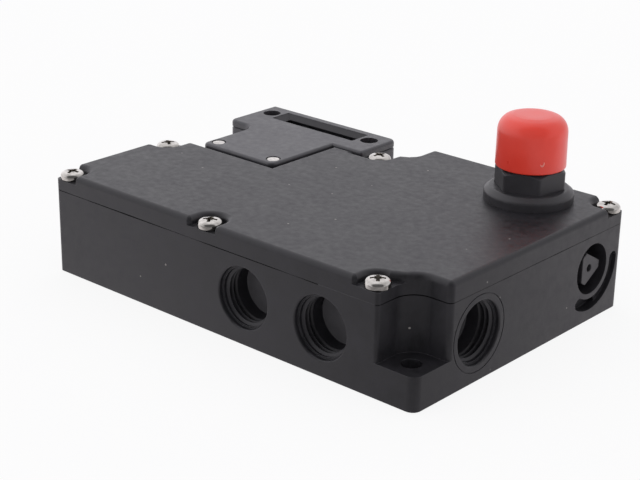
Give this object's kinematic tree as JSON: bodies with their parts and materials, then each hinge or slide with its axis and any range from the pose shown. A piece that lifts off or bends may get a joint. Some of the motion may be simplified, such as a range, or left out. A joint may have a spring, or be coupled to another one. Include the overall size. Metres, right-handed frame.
{
  "type": "tongue interlock switch",
  "caption": "Flat black safety interlock with a slotted actuator head, locking solenoid, red escape button, triangular-key release and threaded cable entries.",
  "frame": {"origin": "middle of the mounting face, under the middle of the overall length and width", "axes": "+X along the length away from the actuator head, +Y towards the edge the head faces, +Z out of the cover along the escape button"},
  "size_m": [0.13, 0.09, 0.0545],
  "materials": {
    "housing_plastic": "fine spark-eroded grain",
    "head_plastic": "fine spark-eroded grain",
    "inner_plastic": "satin",
    "acetal": "satin",
    "red_plastic": "semi-gloss",
    "black_plastic": "satin",
    "nickel_steel": "bright nickel plating",
    "steel": "machined",
    "zinc": "cast zinc",
    "contact_alloy": "stamped strip",
    "copper": "enamelled wire",
    "rubber": "matt"
  },
  "bodies": {
    "housing": {"base_housing": "housing_plastic", "cover": "housing_plastic", "cover_gasket": "rubber", "cover_screws": "nickel_steel", "head_block": "head_plastic", "head_plate": "head_plastic", "head_rivets": "nickel_steel", "head_screws": "nickel_steel", "rotor_axle": "steel", "slide_seal": "rubber", "slide_spring": "steel", "door_contact_block": "inner_plastic", "lock_contact_block": "inner_plastic", "contact_lids": "inner_plastic", "fixed_contacts": "contact_alloy", "bolt_bush": "contact_alloy", "bolt_spring": "steel", "solenoid_yoke": "steel", "solenoid_core": "steel", "coil_bobbin": "acetal", "coil_winding": "copper", "lever_pin": "steel", "button_guide": "black_plastic", "button_seal": "rubber", "button_nut": "black_plastic", "button_spring": "steel", "terminal_block": "inner_plastic", "terminal_screws": "nickel_steel"},
    "rotor": {"rotor": "zinc"},
    "slide": {"slide": "acetal", "door_contact_bar": "acetal", "door_contact_bridges": "contact_alloy"},
    "bolt": {"lock_bolt": "steel", "drive_arm": "steel", "armature": "steel", "release_plate": "steel", "lock_contact_bar": "acetal", "lock_contact_bridges": "contact_alloy"},
    "button": {"button_plunger": "black_plastic", "button_foot": "steel", "button_clip": "steel", "button_cap": "red_plastic"},
    "exit_lever": {"exit_lever": "acetal"},
    "key": {"key_spindle": "black_plastic", "spindle_clip": "steel", "spindle_seal": "rubber"},
    "key_lever": {"key_lever": "acetal"}
  },
  "joints": [
    {"name": "rotor_turn", "type": "hinge", "parent": "housing", "child": "rotor", "pos_m": [-0.04, 0.0322, 0.0155], "axis": [-1, 0, 0], "range_deg": [0, 75]},
    {"name": "slide_travel", "type": "slide", "parent": "housing", "child": "slide", "axis": [0, -1, 0], "range_m": [0, 0.0064], "deforming": ["slide_spring"]},
    {"name": "bolt_travel", "type": "slide", "parent": "housing", "child": "bolt", "axis": [-1, 0, 0], "range_m": [0, 0.0042], "deforming": ["bolt_spring"]},
    {"name": "exit_press", "type": "slide", "parent": "housing", "child": "button", "axis": [0, 0, -1], "range_m": [0, 0.0052], "stiffness_N_per_m": 900, "springref_m": -0.004, "deforming": ["button_spring"]},
    {"name": "exit_lever_turn", "type": "hinge", "parent": "housing", "child": "exit_lever", "pos_m": [0.034, 0.0236, 0.0075], "axis": [0, 1, 0], "range_deg": [0, 22.92]},
    {"name": "key_turn", "type": "hinge", "parent": "housing", "child": "key", "pos_m": [0.055, 0.0302, 0.015], "axis": [1, 0, 0], "range_deg": [0, 180]},
    {"name": "key_lever_turn", "type": "hinge", "parent": "housing", "child": "key_lever", "pos_m": [0.034, 0.0302, 0.0075], "axis": [0, 1, 0], "range_deg": [0, 22.92]}
  ],
  "couplings": [
    {"joint": "slide_travel", "follows": "rotor_turn", "m_per_rad": 0.0048892},
    {"joint": "exit_lever_turn", "follows": "exit_press", "rad_per_m": 76.923},
    {"joint": "key_lever_turn", "follows": "key_turn", "ratio": 0.12732}
  ]
}
